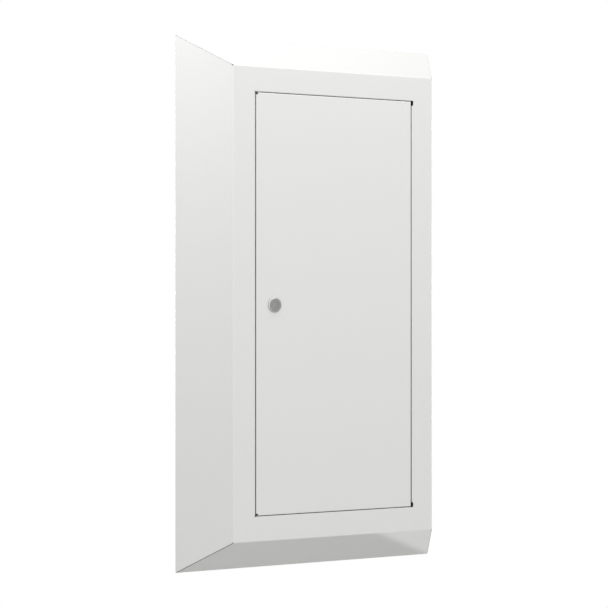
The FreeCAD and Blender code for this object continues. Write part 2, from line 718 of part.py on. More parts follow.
def make_shelf(label, row):
    """A folded tray: hemmed front edge, edges down at the sides and a stop edge up at the rear."""
    body = doc.addObject("PartDesign::Body", label + "_body")
    sheet = "Sizes.shelf_sheet"
    down = "Sizes.shelf_edge_height"
    bend = "Sizes.shelf_bend_radius"
    inner = "Sizes.shelf_bend_radius - Sizes.shelf_sheet"
    front = "-Places.shelf_front_depth"
    rear = "-Places.shelf_rear_depth"
    section = outline(body, label + "_section", "YZ_Plane", None, [
        (front, sheet, bend),
        (front, f"{sheet} - {down}", bend),
        (f"{front} + Sizes.shelf_hem_width", f"{sheet} - {down}"),
        (f"{front} + Sizes.shelf_hem_width", f"2 * {sheet} - {down}"),
        (f"{front} + {sheet}", f"2 * {sheet} - {down}", inner),
        (f"{front} + {sheet}", "0", inner),
        (rear, "0", bend),
        (rear, down),
        (f"{rear} - {sheet}", down),
        (f"{rear} - {sheet}", sheet, inner),
    ])
    pad(body, label + "_tray", section, "2 * Places.shelf_half_width", both_ways=True)
    end_edges = [
        box_corners(f"{i}Places.shelf_half_width", f"{i}(Places.shelf_half_width - {sheet})",
                    f"{sheet} - {down}", f"{sheet} / 2")
        for i in ("-", "")
    ]
    ends = outline(body, label + "_ends_outline", "XZ_Plane",
                   "Places.shelf_rear_depth + Sizes.shelf_bend_radius", *end_edges)
    pad(body, label + "_ends", ends,
        "Places.shelf_front_depth - Places.shelf_rear_depth - 2 * Sizes.shelf_bend_radius")
    place(body, z=shelf_underside(row))
    keep(body, label)


def make_bracket(label, side, row):
    """A cantilever plate whose two hooks hang in the upright's slots."""
    body = doc.addObject("PartDesign::Body", label + "_body")
    back = "-Places.upright_front_depth"
    behind = "Sizes.bracket_hook_clearance - Places.upright_web_depth"
    tail = f"{behind} + Sizes.bracket_hook_width"
    front = "-Places.bracket_front_depth"
    corners = [
        (back, "0"),
        (front, "0", "Sizes.bracket_sheet"),
        (front, "-Sizes.bracket_nose_height", "Sizes.bracket_sheet"),
        (f"{back} - Sizes.bracket_foot_width", "-Sizes.bracket_height", "Sizes.bracket_sheet"),
        (back, "-Sizes.bracket_height"),
    ]
    for slot in (1, 0):
        seat = f"-Sizes.bracket_hook_top - {slot} * Sizes.slot_pitch - Sizes.slot_height / 2"
        corners += [
            (back, seat),
            (behind, seat),
            (behind, f"{seat} - Sizes.bracket_hook_drop"),
            (tail, f"{seat} - Sizes.bracket_hook_drop"),
            (tail, f"{seat} + Sizes.bracket_hook_neck"),
            (back, f"{seat} + Sizes.bracket_hook_neck"),
        ]
    plate = outline(body, label + "_outline", "YZ_Plane", None, corners)
    pad(body, label + "_plate", plate, "Sizes.bracket_sheet", both_ways=True)
    place(body, f"{side}Places.upright_x", z=shelf_underside(row))
    keep(body, label)


# ---------------------------------------------------------------- door


def make_door():
    """Flush door pan: face, four skirts and a lip all round, with holes for the lock and the bushes."""
    body = doc.addObject("PartDesign::Body", "door_body")
    middle = "Places.door_half_width - 2 * Sizes.door_bend_radius"
    middle_z = "Places.door_half_height - 2 * Sizes.door_bend_radius"
    lip = "Places.door_half_width - Sizes.door_lip_width"
    inner_x = "Places.door_half_width - Sizes.door_sheet"
    inner_bend = "Sizes.door_bend_radius - Sizes.door_sheet"
    rear = "-Places.door_rear_depth"
    section = outline(body, "door_section", "XY_Plane", None, [
        (lip, rear),
        ("Places.door_half_width", rear, "Sizes.door_bend_radius"),
        ("Places.door_half_width", "-Sizes.cabinet_depth", "Sizes.door_bend_radius"),
        (middle, "-Sizes.cabinet_depth"),
        (middle, "-Places.door_inner_depth"),
        (inner_x, "-Places.door_inner_depth", inner_bend),
        (inner_x, f"{rear} - Sizes.door_sheet", inner_bend),
        (lip, f"{rear} - Sizes.door_sheet"),
    ])
    sweep(body, "door_edges", section, "Places.door_half_width", "Places.door_half_height",
          "Sizes.cabinet_depth")
    face = outline(body, "door_face_outline", "XZ_Plane", "Sizes.cabinet_depth", rectangle(middle, middle_z))
    pad(body, "door_face", face, "Sizes.door_sheet", reverse=True)

    slits = []
    for i in ("-", ""):
        for k in ("-", ""):
            x = "Places.door_half_width"
            z = "Places.door_half_height"
            reach = "Sizes.door_lip_width"
            wide = "Sizes.door_slit_width"
            start = "Sizes.door_bend_radius"
            slits.append([
                (f"{i}({x} - {start})", f"{k}({z} - {start} - {wide})"),
                (f"{i}({x} - {start})", f"{k}({z} - {start})"),
                (f"{i}({x} - {start} - {wide})", f"{k}({z} - {start})"),
                (f"{i}({x} - {reach} - 2 * {wide})", f"{k}({z} - {reach} - {wide})"),
                (f"{i}({x} - {reach} - {wide})", f"{k}({z} - {reach} - 2 * {wide})"),
            ])
    slit = outline(body, "door_slits_outline", "XZ_Plane", "Places.door_rear_depth + Sizes.door_sheet",
                   *slits)
    pocket(body, "door_slits", slit, "Sizes.door_sheet")

    lock = circles(body, "lock_hole_outline", "XZ_Plane", "Sizes.cabinet_depth",
                   "Sizes.lock_barrel_diameter + 2 * Sizes.lock_hole_clearance",
                   [("Places.lock_x", "Places.lock_z")])
    pocket(body, "lock_hole", lock, "Sizes.door_sheet")

    bushes = circles(body, "bush_holes_outline", "XY_Plane", None, "2 * Places.bush_radius",
                     [("Places.pivot_x", "Places.pivot_y")])
    pocket(body, "bush_holes", bushes, "2 * Places.door_half_height", both_ways=True)
    notch = "Sizes.door_corner_notch"
    notches = []
    for k in ("-", ""):
        notches.append(box_corners(
            f"-(Places.door_half_width - {notch})",
            f"-(Places.door_half_width + {notch})",
            f"{k}(Places.door_half_height - {notch})",
            f"{k}(Places.door_half_height + {notch})",
        ))
    corners = outline(body, "door_corners_outline", "XZ_Plane", "Sizes.cabinet_depth", *notches)
    pocket(body, "door_corners", corners, "Sizes.door_thickness - 2 * Sizes.door_sheet")
    keep(body, "door_panel")


def make_stiffener():
    """Top-hat channel down the middle of the door, spot-welded by its two feet."""
    body = doc.addObject("PartDesign::Body", "stiffener_body")
    sheet = "Sizes.stiffener_sheet"
    wide = "Sizes.stiffener_width / 2"
    foot = "Sizes.stiffener_width / 2 + Sizes.stiffener_foot"
    base = "-Places.door_inner_depth"
    crown = "Sizes.stiffener_height - Places.door_inner_depth"
    outer = f"1.5 * {sheet}"
    inner = f"0.5 * {sheet}"
    section = outline(body, "stiffener_section", "XY_Plane", None, [
        (f"-({foot})", base),
        (f"{sheet} - {wide}", base, outer),
        (f"{sheet} - {wide}", f"{crown} - {sheet}", inner),
        (f"{wide} - {sheet}", f"{crown} - {sheet}", inner),
        (f"{wide} - {sheet}", base, outer),
        (foot, base),
        (foot, f"{base} + {sheet}"),
        (wide, f"{base} + {sheet}", inner),
        (wide, crown, outer),
        (f"-{wide}", crown, outer),
        (f"-{wide}", f"{base} + {sheet}", inner),
        (f"-({foot})", f"{base} + {sheet}"),
    ])
    pad(body, "stiffener_channel", section, "2 * (Places.door_half_height - Sizes.stiffener_end_margin)",
        both_ways=True)
    keep(body, "door_stiffener")


def make_bumpers():
    """Rubber buffers on the stop lip, which the door closes against."""
    pads = []
    side_x = "-(Places.opening_half_width + Places.lip_inner_half_width) / 2"
    side_z = "Places.door_half_height - Sizes.bumper_end_margin"
    end_z = "(Places.opening_half_height + Places.lip_inner_half_height) / 2"
    spots = ((side_x, side_z), (side_x, f"-({side_z})"), ("0", end_z), ("0", f"-({end_z})"))
    for i, (x, z) in enumerate(spots, start=1):
        puck = standing(f"bumper_{i}", "Sizes.bumper_diameter", "Places.bumper_height",
                        x, "Places.bumper_depth", z)
        doc.recompute()
        top = -value("Places.bumper_depth + Places.bumper_height")
        rounded = doc.addObject("Part::Fillet", f"bumper_rounded_{i}")
        rounded.Base = puck
        rounded.Edges = [(n, 1.0, 1.0) for n, edge in enumerate(puck.Shape.Edges, start=1)
                         if edge.BoundBox.YMax < top + 1e-3]
        doc.recompute()
        pads.append(rounded)
    keep(joined("Compound", "bumpers_all", pads), "door_bumpers")


# ---------------------------------------------------------------- pivots


def make_pivots():
    """Pins pushed through the casing into flanged bushes in the door, at its top and at its bottom."""
    pin = "Sizes.pivot_pin_diameter / 2"
    head = "Sizes.pivot_head_diameter / 2"
    plate = "Sizes.pivot_plate_height"
    tip = "-(Sizes.casing_sheet + Sizes.door_gap + Sizes.pivot_pin_reach)"
    soft = "Sizes.casing_sheet / 3"
    bore = "Places.bush_bore_radius"
    sleeve = "Places.bush_radius"
    flange = "Sizes.bush_flange_diameter / 2"
    lip = "Sizes.bush_flange_height"
    for label, side, turn in (("upper", "", None), ("lower", "-", ((1, 0, 0), 180))):
        body = turned(f"{label}_pin", [
            ("0", tip),
            (pin, tip, soft),
            (pin, plate),
            (head, plate),
            (head, f"{plate} + Sizes.pivot_head_height", soft),
            ("0", f"{plate} + Sizes.pivot_head_height"),
        ])
        place(body, "Places.pivot_x", "Places.pivot_y", f"{side}Places.pivot_plate_z", turn)
        keep(body, f"{label}_pivot_pin")

        body = turned(f"{label}_bush", [
            (bore, "-Sizes.bush_sleeve_length"),
            (sleeve, "-Sizes.bush_sleeve_length"),
            (sleeve, "0"),
            (flange, "0"),
            (flange, lip),
            (bore, lip),
        ])
        place(body, "Places.pivot_x", "Places.pivot_y", f"{side}Places.door_half_height", turn)
        keep(body, f"{label}_door_bush")

        box = doc.addObject("Part::Box", f"{label}_plate_box")
        box.setExpression("Length", "Sizes.pivot_plate_length")
        box.setExpression("Width", "Sizes.pivot_plate_width")
        box.setExpression("Height", plate)
        foot = "Places.pivot_plate_z" if side == "" else f"-Places.pivot_plate_z - {plate}"
        place(box, "Places.pivot_x - Sizes.pivot_plate_length / 2",
              "Places.pivot_y - Sizes.pivot_plate_width / 2 + Sizes.pivot_plate_offset", foot)
        hole = doc.addObject("Part::Cylinder", f"{label}_plate_hole")
        hole.setExpression("Radius", bore)
        hole.setExpression("Height", plate)
        place(hole, "Places.pivot_x", "Places.pivot_y", foot)
        keep(cut(f"{label}_plate", box, hole), f"{label}_pivot_plate")

    washer = turned("washer", [
        (bore, "0"),
        (flange, "0"),
        (flange, "Places.pivot_washer_height"),
        (bore, "Places.pivot_washer_height"),
    ])
    place(washer, "Places.pivot_x", "Places.pivot_y", "-Places.opening_half_height")
    keep(washer, "pivot_washer")


# ---------------------------------------------------------------- lock


def at_lock(body):
    """Turns a body so that its own heights are depths, on the lock's axis."""
    return place(body, "Places.lock_x", z="Places.lock_z", turn=((1, 0, 0), 90))


def make_lock():
    """Cam lock: threaded housing, gasket, nut, turning plug and a cam that reaches behind the stop lip."""
    head = "Sizes.lock_head_diameter / 2"
    face = "Sizes.lock_face_diameter / 2"
    barrel = "Sizes.lock_barrel_diameter / 2"
    bore = "Places.lock_bore_radius"
    seat = "Places.lock_seat_depth"
    front = "Places.lock_front_depth"
    rear = "Places.lock_rear_depth"
    housing = turned("housing", [
        (bore, rear),
        (barrel, rear, "0.8"),
        (barrel, seat),
        (head, seat),
        (head, f"{seat} + Sizes.lock_rim_height", "0.6"),
        (face, front, "1.0"),
        (bore, front),
    ])
    keep(at_lock(housing), "lock_housing")

    gasket = turned("gasket", [
        (f"{barrel} + Sizes.lock_hole_clearance", "Sizes.cabinet_depth"),
        (f"{head} - 0.3", "Sizes.cabinet_depth"),
        (f"{head} - 0.3", seat),
        (f"{barrel} + Sizes.lock_hole_clearance", seat),
    ])
    keep(at_lock(gasket), "lock_gasket")

    hexagon = doc.addObject("Part::Prism", "lock_nut_hexagon")
    hexagon.Polygon = 6
    hexagon.setExpression("Circumradius", "Sizes.lock_nut_flats / 2 / cos(30)")
    hexagon.setExpression("Height", "Sizes.lock_nut_height")
    nut_foot = "Places.door_inner_depth - Sizes.lock_nut_height"
    place(hexagon, "Places.lock_x", f"-({nut_foot})", "Places.lock_z", turn=((1, 0, 0), 90))
    bore_tool = standing("lock_nut_bore", "Sizes.lock_barrel_diameter + 2 * Sizes.stud_clearance",
                         "Sizes.lock_nut_height", "Places.lock_x", nut_foot, "Places.lock_z")
    keep(cut("lock_nut_cut", hexagon, bore_tool), "lock_nut")

    make_plug(rear, front)
    make_cam()


def make_plug(rear, front):
    """Turning plug with a key slot in front, a collar behind the housing and a square drive for the cam."""
    plug = "Sizes.lock_plug_diameter / 2"
    collar = "Sizes.lock_collar_diameter / 2"
    top = f"{front} - Sizes.lock_plug_recess"
    body = turned("plug", [
        ("0", "Places.cam_front_depth"),
        (collar, "Places.cam_front_depth"),
        (collar, f"{rear} - Sizes.lock_plug_clearance"),
        (plug, f"{rear} - Sizes.lock_plug_clearance"),
        (plug, top, "0.5"),
        ("0", top),
    ])
    square = outline(body, "plug_square_outline", "XY_Plane", "Places.cam_rear_depth",
                     rectangle("Sizes.cam_square / 2", "Sizes.cam_square / 2"))
    pad(body, "plug_square", square, "Sizes.cam_sheet")
    slot = outline(body, "key_slot_outline", "XY_Plane", top,
                   rectangle("Sizes.key_slot_width / 2", "Sizes.key_slot_length / 2"))
    pocket(body, "key_slot", slot, "Sizes.key_slot_depth")
    screw = circles(body, "screw_hole_outline", "XY_Plane", "Places.cam_rear_depth",
                    "Sizes.cam_screw_diameter + 2 * Sizes.stud_clearance", [("0", "0")])
    pocket(body, "screw_hole", screw, "Sizes.cam_screw_length", reverse=True)
    keep(at_lock(body), "lock_plug")


def make_cam():
    """Flat cam on the square drive, with its screw and washer."""
    body = doc.addObject("PartDesign::Body", "cam_body")
    half = "Sizes.cam_width / 2"
    plate = outline(body, "cam_outline", "XY_Plane", "Places.cam_rear_depth", [
        (f"-{half}", f"-{half}", f"0.9 * {half}"),
        (half, f"-{half}", f"0.9 * {half}"),
        (half, "Sizes.cam_reach", "Sizes.cam_sheet"),
        (f"-{half}", "Sizes.cam_reach", "Sizes.cam_sheet"),
    ])
    pad(body, "cam_plate", plate, "Sizes.cam_sheet")
    drive = "Sizes.cam_square / 2 + Sizes.stud_clearance / 2"
    hole = outline(body, "cam_hole_outline", "XY_Plane", "Places.cam_front_depth", rectangle(drive, drive))
    pocket(body, "cam_hole", hole, "Sizes.cam_sheet")
    keep(at_lock(body), "lock_cam")

    shank = "Sizes.cam_screw_diameter / 2"
    washer_bore = "Sizes.cam_screw_diameter / 2 + Sizes.stud_clearance"
    washer_depth = "Places.cam_rear_depth - Sizes.cam_washer_height"
    washer = turned("cam_washer_ring", [
        (washer_bore, washer_depth),
        ("Sizes.cam_washer_diameter / 2", washer_depth),
        ("Sizes.cam_washer_diameter / 2", "Places.cam_rear_depth"),
        (washer_bore, "Places.cam_rear_depth"),
    ])
    keep(at_lock(washer), "cam_washer")

    screw_end = f"{washer_depth} - Sizes.cam_screw_head_height"
    screw = turned("cam_screw_turned", [
        ("0", screw_end),
        ("Sizes.cam_screw_head_diameter / 2", screw_end, "0.5"),
        ("Sizes.cam_screw_head_diameter / 2", washer_depth),
        (shank, washer_depth),
        (shank, "Places.cam_rear_depth + Sizes.cam_screw_length - 1"),
        ("0", "Places.cam_rear_depth + Sizes.cam_screw_length - 1"),
    ])
    across = "Sizes.cam_screw_socket / 2 / cos(30)"
    hexagon = [(f"{across} * cos({turn})", f"{across} * sin({turn})")
               for turn in (30, 90, 150, 210, 270, 330)]
    socket = outline(screw, "screw_socket_outline", "XY_Plane", screw_end, hexagon)
    pocket(screw, "screw_socket", socket, "Sizes.cam_screw_head_height / 2", reverse=True)
    keep(at_lock(screw), "cam_screw")


# ---------------------------------------------------------------- everything


make_casing()
make_back_plate()
make_cleats()
make_studs("casing_studs", casing_stud_places(),
           "Places.flange_depth + Sizes.nut_height + Sizes.stud_spare_length")
make_nuts("casing_nuts", casing_stud_places(), "Places.flange_depth")
make_upright("left_upright", "-")
make_upright("right_upright", "")
make_studs("upright_studs", upright_stud_places(),
           "Places.upright_front_depth + Sizes.nut_height + Sizes.stud_spare_length")
make_nuts("upright_nuts", upright_stud_places(), "Places.upright_front_depth")
for shelf_name, shelf_row in (("lower", -1), ("middle", 0), ("upper", 1)):
    make_shelf(f"{shelf_name}_shelf", shelf_row)
    make_bracket(f"{shelf_name}_left_bracket", "-", shelf_row)
    make_bracket(f"{shelf_name}_right_bracket", "", shelf_row)
make_bumpers()
make_door()
make_stiffener()
make_pivots()
make_lock()

doc.recompute()
for thing in doc.Objects:
    if "Invalid" in thing.State or "Error" in thing.State:
        raise ValueError(f"{thing.Name} failed: {thing.State}")
for thing in PARTS:
    if thing.Shape.isNull() or not thing.Shape.isValid():
        raise ValueError(f"{thing.Label} is not a sound shape")

os.makedirs("parts", exist_ok=True)
for thing in PARTS:
    thing.Shape.exportStep(os.path.join("parts", thing.Label + ".step"))
    print(thing.Label, len(thing.Shape.Solids), "solids", round(thing.Shape.Volume / 1000, 2), "cm3")
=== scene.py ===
"""A shallow white wall cabinet with sloping sides, a flush door and a round lock, in soft daylight from above."""

import math

import bmesh
import bpy
from mathutils import Matrix, Vector


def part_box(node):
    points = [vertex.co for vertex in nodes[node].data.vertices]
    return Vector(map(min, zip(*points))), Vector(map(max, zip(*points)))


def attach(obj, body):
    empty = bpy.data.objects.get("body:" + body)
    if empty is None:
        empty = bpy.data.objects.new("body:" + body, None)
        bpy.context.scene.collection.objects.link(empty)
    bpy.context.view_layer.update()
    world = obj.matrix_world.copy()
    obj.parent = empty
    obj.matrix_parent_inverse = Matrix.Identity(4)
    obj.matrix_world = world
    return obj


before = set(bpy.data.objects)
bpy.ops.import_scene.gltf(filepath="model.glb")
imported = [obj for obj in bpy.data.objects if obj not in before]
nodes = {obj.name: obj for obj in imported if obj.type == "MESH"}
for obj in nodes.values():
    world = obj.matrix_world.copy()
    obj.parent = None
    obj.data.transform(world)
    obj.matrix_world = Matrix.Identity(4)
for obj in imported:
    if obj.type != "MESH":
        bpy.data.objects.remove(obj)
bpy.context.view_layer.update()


# Casing: one sheet of 1.5 mm steel, folded into the face, four slopes, the wall flange and the returns of the
# door opening. It is powder coated white after folding, which leaves a fine orange-peel skin on it.


class Shade:
    """A number or colour in a finish's node tree, which adds, subtracts and multiplies like a number."""

    def __init__(self, tree, socket=None):
        self.tree = tree
        self.socket = socket

    def node(self, kind, settings, sockets, out=0):
        """Adds a node with its settings first, then a value or a link for each socket named."""
        made = self.tree.nodes.new("ShaderNode" + kind)
        for name, setting in settings.items():
            setattr(made, name, setting)
        for name, given in sockets.items():
            if isinstance(given, Shade):
                self.tree.links.new(given.socket, made.inputs[name])
            else:
                made.inputs[name].default_value = given
        return Shade(self.tree, made.outputs[out]) if made.outputs else None

    def maths(self, operation, left, right):
        return self.node("Math", {"operation": operation}, {0: left, 1: right})

    def __add__(self, other):
        return self.maths("ADD", self, other)

    def __sub__(self, other):
        return self.maths("SUBTRACT", self, other)

    def __mul__(self, other):
        return self.maths("MULTIPLY", self, other)

    def __rsub__(self, other):
        return self.maths("SUBTRACT", other, self)

    __radd__ = __add__
    __rmul__ = __mul__

    def blend(self, one, other):
        """One colour turning into another as this value goes from 0 to 1."""
        return self.node("Mix", {"data_type": "RGBA"}, {0: self, 6: (*one, 1), 7: (*other, 1)}, out=2)

    def clouds(self, scale, detail=2.0):
        """Soft noise that many cells to the metre, about one half."""
        place = self.node("TexCoord", {}, {}, out="Object")
        return self.node("TexNoise", {}, {"Vector": place, "Scale": scale, "Detail": detail, "Roughness": 0.55})

    def along(self, axis):
        """The distance along an axis from the cabinet's origin."""
        place = self.node("TexCoord", {}, {}, out="Object")
        return self.node("SeparateXYZ", {}, {0: place}, out=axis)

    def ramp(self, start, end):
        """This value as 0 up to start and 1 from end on, with a straight rise between them."""
        return self.node("MapRange", {}, {"Value": self, "From Min": start, "From Max": end})


def new_finish(name):
    """An empty material and the handle that nodes are added to it by."""
    finish = bpy.data.materials.new(name)
    finish.use_nodes = True
    finish.node_tree.nodes.clear()
    return finish, Shade(finish.node_tree)


def wear(node, finish):
    """Puts one finish on a piece."""
    node.data.materials.clear()
    node.data.materials.append(finish)


def powder_coat(name, tone, shaded_tone, painted_shade=None):
    """White polyester powder coat: satin, with fine peel and a faint drift in tone. Where a shade mask is given, grey
    is mixed in there as painted shade."""
    finish, coat = new_finish(name)
    drift = coat.clouds(7, 3)
    peel = coat.clouds(380, 2)
    grain = coat.clouds(1500, 1)
    peel_height = 0.00006
    skin = coat.node("Bump", {}, {"Strength": 0.35, "Distance": peel_height, "Height": peel * 0.75 + grain * 0.25})
    colour = drift.blend(shaded_tone, tone)
    # Painted shade: grey mixed into the coat where the mask says, standing in for shade in gaps and seams.
    if painted_shade:
        shade_mask = painted_shade(coat)
        colour = coat.node("Mix", {"data_type": "RGBA"}, {0: shade_mask, 6: colour, 7: (*painted_shade_grey, 1)}, out=2)
    shader = coat.node("BsdfPrincipled", {}, {
        "Base Color": colour,
        "Roughness": peel * 0.1 + drift * 0.06 + 0.36,
        "Normal": skin,
        "Specular IOR Level": 0.5,
    })
    coat.node("OutputMaterial", {}, {"Surface": shader})
    return finish


# The grey of the painted shade in the door gap and the lower seams.
painted_shade_grey = (0.20, 0.20, 0.20)
casing_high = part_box("casing")[1]
door_low, door_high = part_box("door_panel")
face_y = door_low[1]
side_gap = 0.0024
end_gap = 0.0016
opening_x = door_high[0] + side_gap
opening_z = door_high[2] + end_gap
opening_bend = 0.007
spot_edge = 0.0003
strip_start = 0.0025
strip_end = 0.007
strip_fade = 0.010


def gap_side_shade(coat, near_x, far_x, far_z, shade_strength):
    """The first strip of sheet on edge along the sides of the door gap, masked for painted shade in the gap."""
    across = coat.maths("ABSOLUTE", coat.along("X"), 0)
    upright = coat.maths("ABSOLUTE", coat.along("Z"), 0)
    inward = coat.along("Y")
    sides = across.ramp(near_x - spot_edge, near_x) * across.ramp(far_x + spot_edge, far_x)
    strip = inward.ramp(face_y, face_y + strip_start) * inward.ramp(face_y + strip_fade, face_y + strip_end)
    return sides * upright.ramp(far_z + spot_edge, far_z) * strip * shade_strength


def casing_painted_shade(coat):
    """Painted shade on the sides of the opening, darker towards the bottom, and on the edges of the lower seams."""
    seam_middle = casing_high[0] - casing_high[2]
    seam_edge = 0.00085
    seam_fade = 0.0002
    sheet_start = 0.0017
    sheet_end = 0.0020
    corner_reach = 0.02
    across = coat.maths("ABSOLUTE", coat.along("X"), 0)
    from_seam = coat.maths("ABSOLUTE", across + coat.along("Z") - seam_middle, 0)
    behind_face = coat.along("Y").ramp(face_y + sheet_start, face_y + sheet_end)
    low = coat.along("Z").ramp(-opening_z, -opening_z - corner_reach)
    # Painted shade along the edges of the lower seams, which lie in shadow.
    seam_shade = from_seam.ramp(seam_edge + seam_fade, seam_edge) * behind_face * low
    # Painted shade in the sides of the opening, stronger towards the bottom.
    shade_strength = coat.along("Z").ramp(opening_z, -opening_z) * 0.72 + 0.16
    return gap_side_shade(coat, opening_x - opening_bend, opening_x, opening_z, shade_strength) + seam_shade


# The casing's coat carries painted shade in the door gap and along the lower seams.
wear(nodes["casing"], powder_coat("casing_powder_coat", (0.80, 0.80, 0.785), (0.785, 0.785, 0.77),
                                  casing_painted_shade))


# Back plate: a flat sheet against the wall, coated with the casing. It has four holes for the wall fixings, and
# a pressed stud stands in each of its other holes.

wear(nodes["back_plate"], powder_coat("back_powder_coat", (0.79, 0.79, 0.775), (0.77, 0.77, 0.755)))


# Corner cleats: angle strips bonded behind the mitred corners of the slopes, so that one shows deep in each seam. The
# upper pair is coated with the casing. The lower pair is finished in near-black dull metal, as painted shade deep in
# the lower seams.

cleat_coat = powder_coat("cleat_powder_coat", (0.82, 0.82, 0.805), (0.80, 0.80, 0.785))


def zinc_plate(name, tone, shaded_tone, rough):
    """Bright zinc over steel, with soft blotches and fine handling marks."""
    finish, coat = new_finish(name)
    blotch = coat.clouds(160, 3)
    marks = coat.clouds(2600, 2)
    skin = coat.node("Bump", {}, {"Strength": 0.3, "Distance": 0.00003, "Height": marks})
    shader = coat.node("BsdfPrincipled", {}, {
        "Base Color": blotch.blend(shaded_tone, tone),
        "Metallic": 1.0,
        "Roughness": blotch * 0.16 + marks * 0.08 + rough,
        "Normal": skin,
    })
    coat.node("OutputMaterial", {}, {"Surface": shader})
    return finish


# Near-black metal on the lower cleats, as painted shade in the lower seams.
lower_cleat_painted_shade = zinc_plate("lower_cleat_painted_shade", (0.12, 0.12, 0.12), (0.08, 0.08, 0.08), 0.45)
for side in ("left", "right"):
    wear(nodes["corner_cleat_upper_" + side], cleat_coat)
    wear(nodes["corner_cleat_lower_" + side], lower_cleat_painted_shade)


# Studs and nuts: clinch studs pressed into the back plate, and hexagon flange nuts that hold the casing and the
# uprights to it. Zinc plated and clear passivated, with a cool blotched sheen.

fastener_zinc = zinc_plate("fastener_zinc", (0.74, 0.75, 0.76), (0.60, 0.61, 0.60), 0.22)
for fastener in ("casing_studs", "casing_nuts", "upright_studs", "upright_nuts"):
    wear(nodes[fastener], fastener_zinc)


# Uprights, shelves and brackets: slotted channels on the back plate, cantilever brackets hooked in their slots
# and folded trays lying on the brackets. Each is coated white in a batch of its own.

upright_coat = powder_coat("upright_powder_coat", (0.78, 0.78, 0.765), (0.76, 0.76, 0.745))
for side in ("left", "right"):
    wear(nodes[side + "_upright"], upright_coat)
shelf_coat = powder_coat("shelf_powder_coat", (0.79, 0.79, 0.775), (0.76, 0.76, 0.75))
bracket_coat = powder_coat("bracket_powder_coat", (0.77, 0.77, 0.755), (0.75, 0.75, 0.735))
for level in ("lower", "middle", "upper"):
    wear(nodes[level + "_shelf"], shelf_coat)
    wear(nodes[level + "_left_bracket"], bracket_coat)
    wear(nodes[level + "_right_bracket"], bracket_coat)


# Bumpers: small black rubber buffers stuck on the stop lip, which the door closes against. Moulded, with a matt
# dusty skin.


def rubber(name, tone, dusty_tone):
    """Moulded rubber: matt, slightly blotched."""
    finish, skin = new_finish(name)
    bloom = skin.clouds(240, 3)
    pores = skin.clouds(1800, 2)
    dents = skin.node("Bump", {}, {"Strength": 0.5, "Distance": 0.00005, "Height": pores})
    shader = skin.node("BsdfPrincipled", {}, {
        "Base Color": bloom.blend(tone, dusty_tone),
        "Roughness": bloom * 0.2 + 0.6,
        "Normal": dents,
    })
    skin.node("OutputMaterial", {}, {"Surface": shader})
    return finish


wear(nodes["door_bumpers"], rubber("bumper_rubber", (0.022, 0.022, 0.022), (0.05, 0.05, 0.048)))


# Door: a flush pan of 1.5 mm steel with a returned lip, coated in the same batch as the casing, and the top-hat
# channel spot-welded down the middle of its inner side.

door_skin = 0.0004
# How grey the painted shade on the door's gap edge is.
door_shade_strength = 0.42


def door_painted_shade(coat):
    """The pan's own edge along the sides of the gap, masked for painted shade."""
    return gap_side_shade(coat, door_high[0] - door_skin, door_high[0], door_high[2], door_shade_strength)


# The door's coat carries painted shade along its gap edge.
wear(nodes["door_panel"], powder_coat("door_powder_coat", (0.80, 0.80, 0.785), (0.79, 0.79, 0.775),
                                      door_painted_shade))
wear(nodes["door_stiffener"], powder_coat("stiffener_powder_coat", (0.77, 0.77, 0.755), (0.74, 0.74, 0.725)))


# Pivots: turned steel pins through small plates welded in the casing, running in flanged nylon bushes pressed in
# the door, with a nylon washer under the lower one.

pivot_zinc = zinc_plate("pivot_zinc", (0.70, 0.71, 0.72), (0.58, 0.59, 0.60), 0.26)
for end in ("upper", "lower"):
    wear(nodes[end + "_pivot_pin"], pivot_zinc)
    wear(nodes[end + "_pivot_plate"], pivot_zinc)


def nylon(name, tone, shaded_tone):
    """Moulded black nylon: slightly waxy, with fine flow marks."""
    finish, skin = new_finish(name)
    flow = skin.clouds(300, 2)
    shader = skin.node("BsdfPrincipled", {}, {
        "Base Color": flow.blend(shaded_tone, tone),
        "Roughness": flow * 0.15 + 0.4,
        "Normal": skin.node("Bump", {}, {"Strength": 0.3, "Distance": 0.00004, "Height": skin.clouds(1300)}),
    })
    skin.node("OutputMaterial", {}, {"Surface": shader})
    return finish


pivot_nylon = nylon("pivot_nylon", (0.030, 0.030, 0.031), (0.022, 0.022, 0.022))
for piece in ("upper_door_bush", "lower_door_bush", "pivot_washer"):
    wear(nodes[piece], pivot_nylon)


# Lock: a turned brass housing, clamped through the door by a hexagon nut on a rubber gasket. It is chromed, with
# a bright rim and a grey satin face, and its plug turns a flat steel cam behind the stop lip.

plug_low, plug_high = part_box("lock_plug")
lock_x = (plug_low[0] + plug_high[0]) / 2
lock_z = (plug_low[2] + plug_high[2]) / 2
housing_low, housing_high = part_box("lock_housing")
rim_width = 0.0027
rim_edge = (housing_high[0] - housing_low[0]) / 2 - rim_width
rim_blend = 0.0003
ring_rate = 16000


